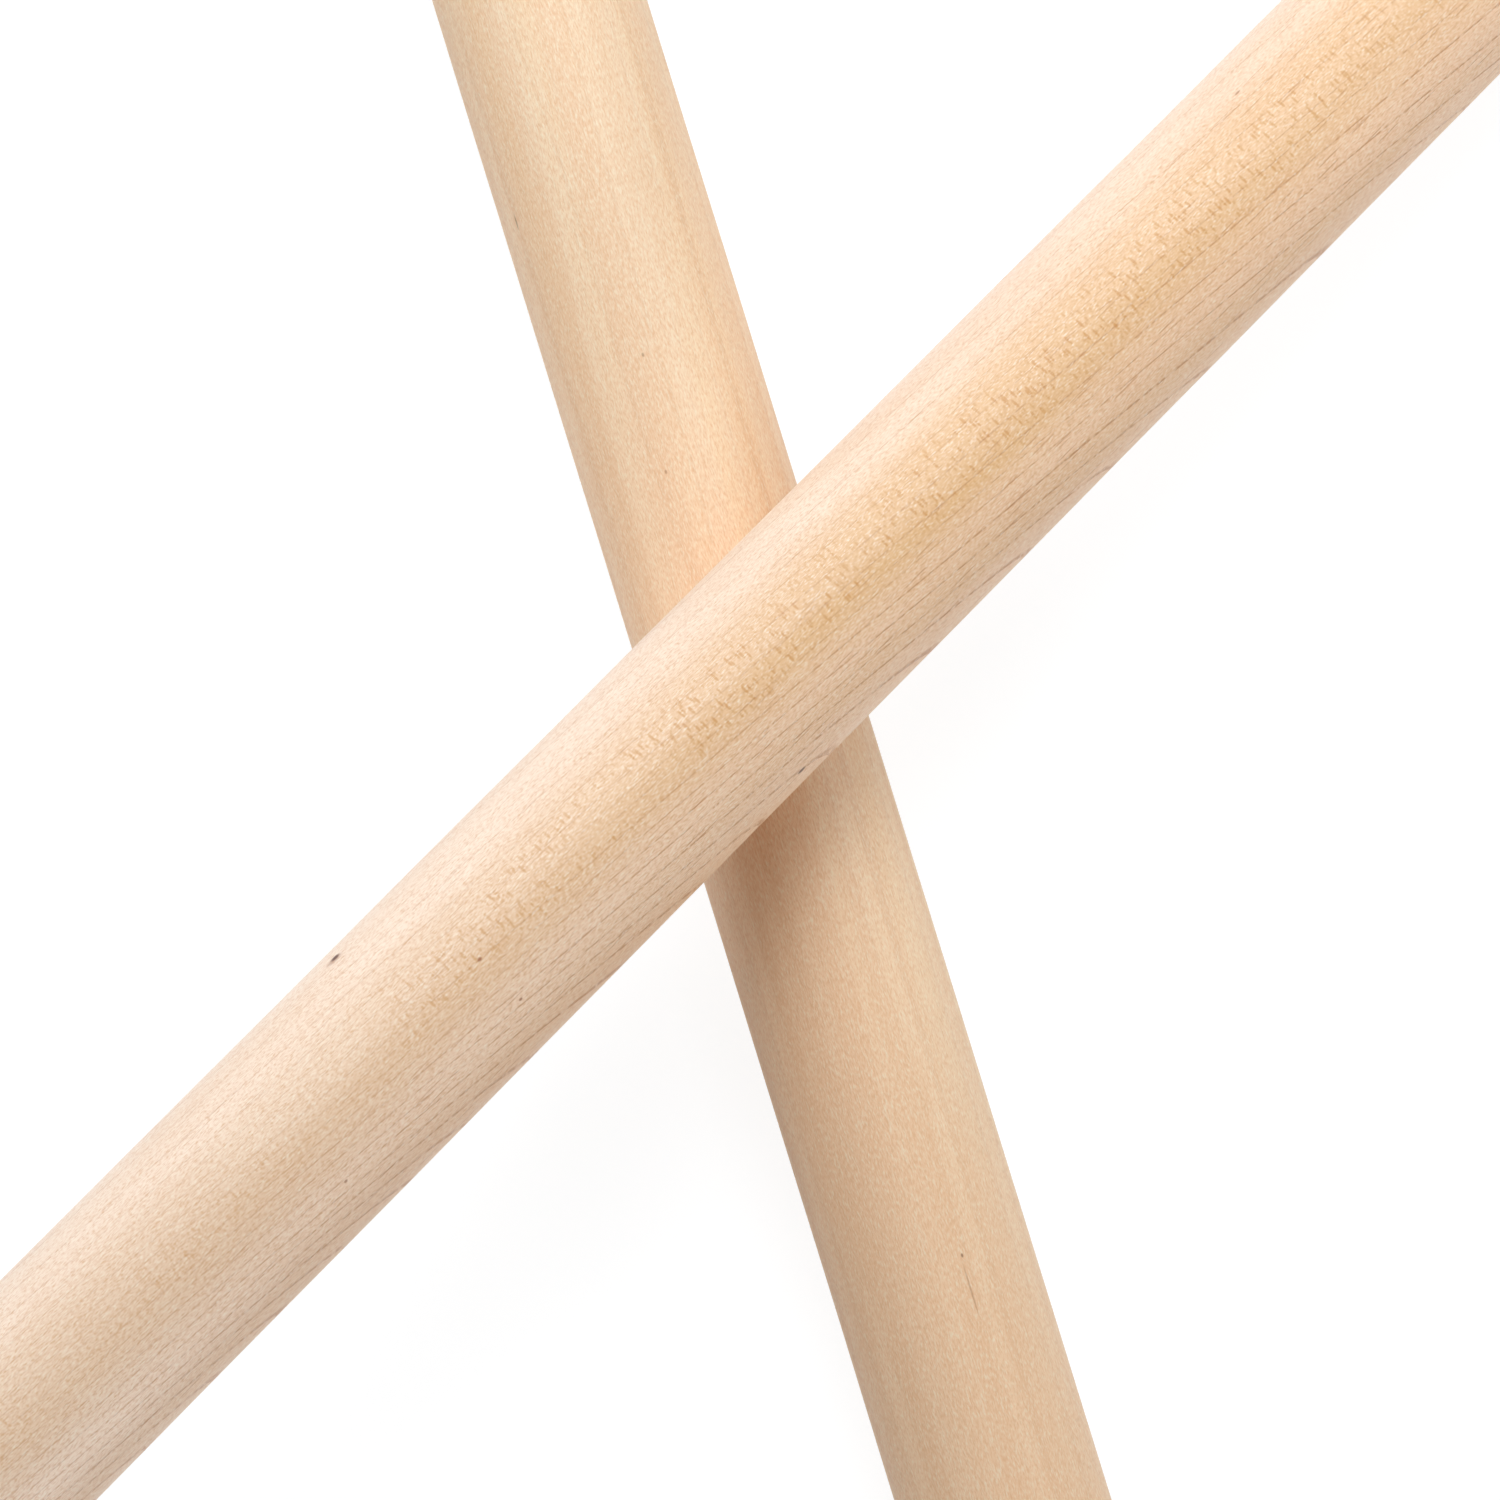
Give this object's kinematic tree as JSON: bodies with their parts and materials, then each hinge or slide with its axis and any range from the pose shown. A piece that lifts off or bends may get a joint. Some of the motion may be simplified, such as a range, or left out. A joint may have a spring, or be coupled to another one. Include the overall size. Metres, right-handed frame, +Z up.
{
  "type": "claves",
  "caption": "Solid round wooden claves: a striking stick rests across a struck stick, and is lifted and tapped down on it to sound a sharp click.",
  "frame": {"origin": "on the table, under the middle of the crossed pair's bounding box", "axes": "+Z up from the table, +Y along the longer side of the pair, close to the struck clave's axis, +X to the side where the striking clave's lower end rests"},
  "size_m": [0.1516, 0.1986, 0.0534],
  "materials": {
    "struck_wood": "pale hardwood, fine-sanded and unvarnished, satin",
    "striking_wood": "pale hardwood, fine-sanded and unvarnished, satin, with ray flecks"
  },
  "bodies": {
    "struck_clave": {"struck_clave": "struck_wood"},
    "striking_clave": {"striking_clave": "striking_wood"}
  },
  "joints": [
    {"name": "strike_lift", "type": "slide", "parent": "struck_clave", "child": "striking_clave", "axis": [0, 0, 1], "range_m": [0, 0.1]}
  ]
}
